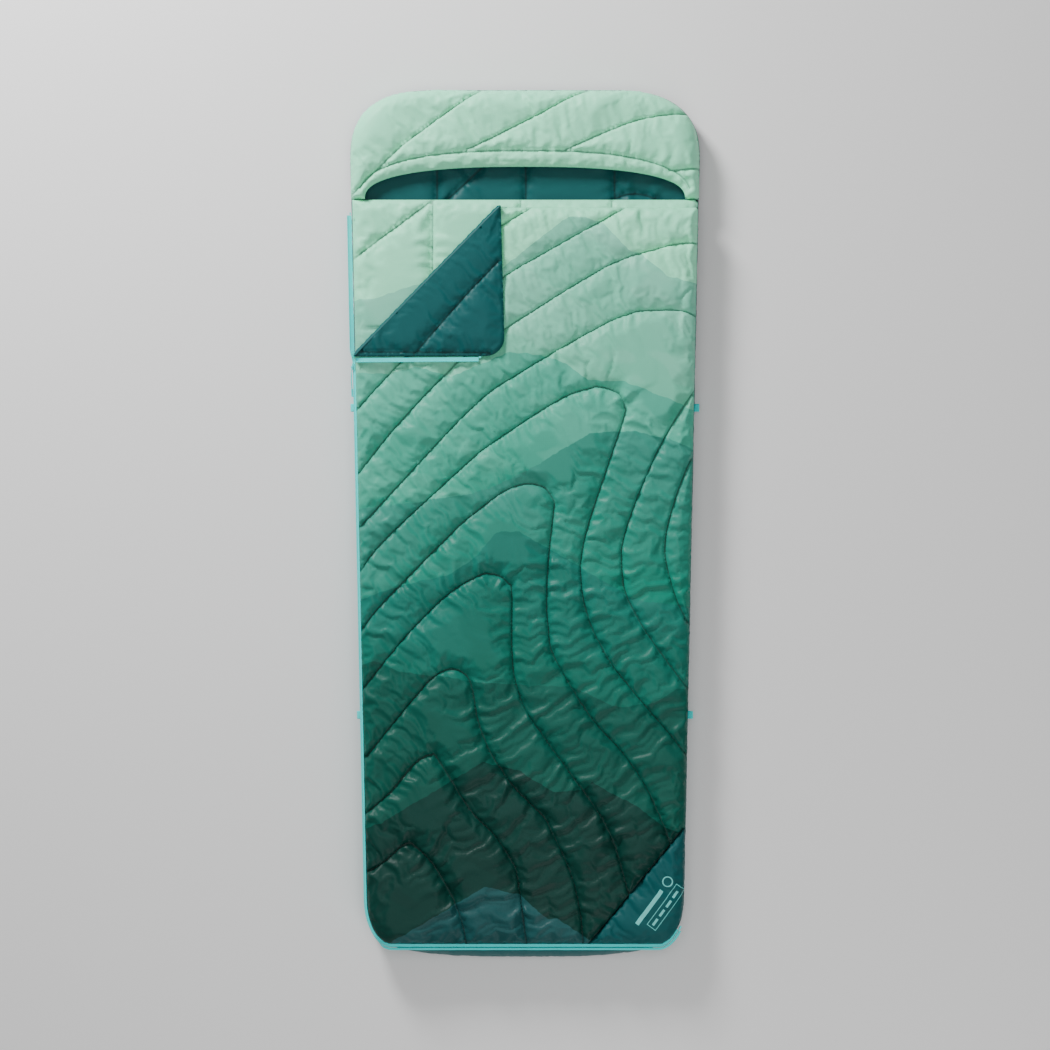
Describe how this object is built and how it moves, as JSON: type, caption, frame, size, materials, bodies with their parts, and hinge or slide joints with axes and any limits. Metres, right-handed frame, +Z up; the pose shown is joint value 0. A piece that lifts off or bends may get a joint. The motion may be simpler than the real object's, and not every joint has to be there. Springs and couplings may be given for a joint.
{
  "type": "camp quilt",
  "caption": "Rectangular padded camp quilt with a hood pocket, a sewn-in inner front and a zipped outer front, one head corner turned back.",
  "frame": {"origin": "middle of the back panel's underside, the face that lies on the ground", "axes": "+X towards the sewn side seam, +Y towards the head, +Z up from the ground"},
  "size_m": [0.845, 2.1, 0.1175],
  "materials": {
    "printed_shell": "satin nylon ripstop with a printed mountain scene",
    "teal_lining": "soft matt taffeta",
    "dark_teal_shell": "satin nylon ripstop",
    "wadding": "soft fibre filling",
    "patch_teal": "matt woven patch",
    "zip_tape": "herringbone woven tape",
    "zip_coil": "moulded coil",
    "zip_metal": "enamelled",
    "cord": "braided cord",
    "webbing": "woven webbing"
  },
  "bodies": {
    "back": {"back_shell": "dark_teal_shell", "back_insulation": "wadding", "back_lining": "teal_lining", "foot_gusset": "dark_teal_shell", "side_gusset_left": "dark_teal_shell", "side_gusset_right": "dark_teal_shell", "hood_shell": "printed_shell", "hood_insulation": "wadding", "hood_lining": "teal_lining", "hood_rim": "printed_shell", "inner_quilt_shell": "printed_shell", "inner_quilt_insulation": "wadding", "inner_quilt_lining": "teal_lining", "zip_tape_back": "zip_tape", "zip_coil_back": "zip_coil", "zip_stop_back": "zip_metal", "zip_end_box": "zip_coil", "side_loop_left_head": "webbing", "side_loop_left_foot": "webbing", "side_loop_right_head": "webbing", "side_loop_right_foot": "webbing"},
    "outer_quilt": {"outer_quilt_shell": "printed_shell", "outer_quilt_insulation": "wadding", "outer_quilt_lining": "teal_lining", "corner_patch": "patch_teal", "zip_tape_outer": "zip_tape", "zip_coil_outer": "zip_coil"},
    "corner_flap": {"flap_shell": "printed_shell", "flap_insulation": "wadding", "flap_lining": "teal_lining", "zip_tape_flap": "zip_tape", "zip_coil_flap": "zip_coil", "zip_stop_flap": "zip_metal"},
    "slider": {"slider_body": "zip_metal"},
    "pull": {"pull_tab": "zip_metal", "pull_cord": "cord", "cord_end": "cord"}
  },
  "joints": [
    {"name": "outer_quilt_open", "type": "hinge", "parent": "back", "child": "outer_quilt", "pos_m": [0.40475, 0, 0.0645], "axis": [0.0207, 0.9998, 0], "range_deg": [0, 175]},
    {"name": "corner_fold", "type": "hinge", "parent": "outer_quilt", "child": "corner_flap", "pos_m": [-0.058, 0.7626, 0.09125], "axis": [-0.6973, -0.7168, 0], "range_deg": [0, 179]},
    {"name": "zip_slider", "type": "slide", "parent": "back", "child": "slider", "axis": [-0.0207, 0.9998, 0], "range_m": [-1.26, 0.35]},
    {"name": "zip_pull", "type": "hinge", "parent": "slider", "child": "pull", "pos_m": [-0.41663, 0.38, 0.065], "axis": [0, 0, -1], "range_deg": [0, 170]}
  ]
}
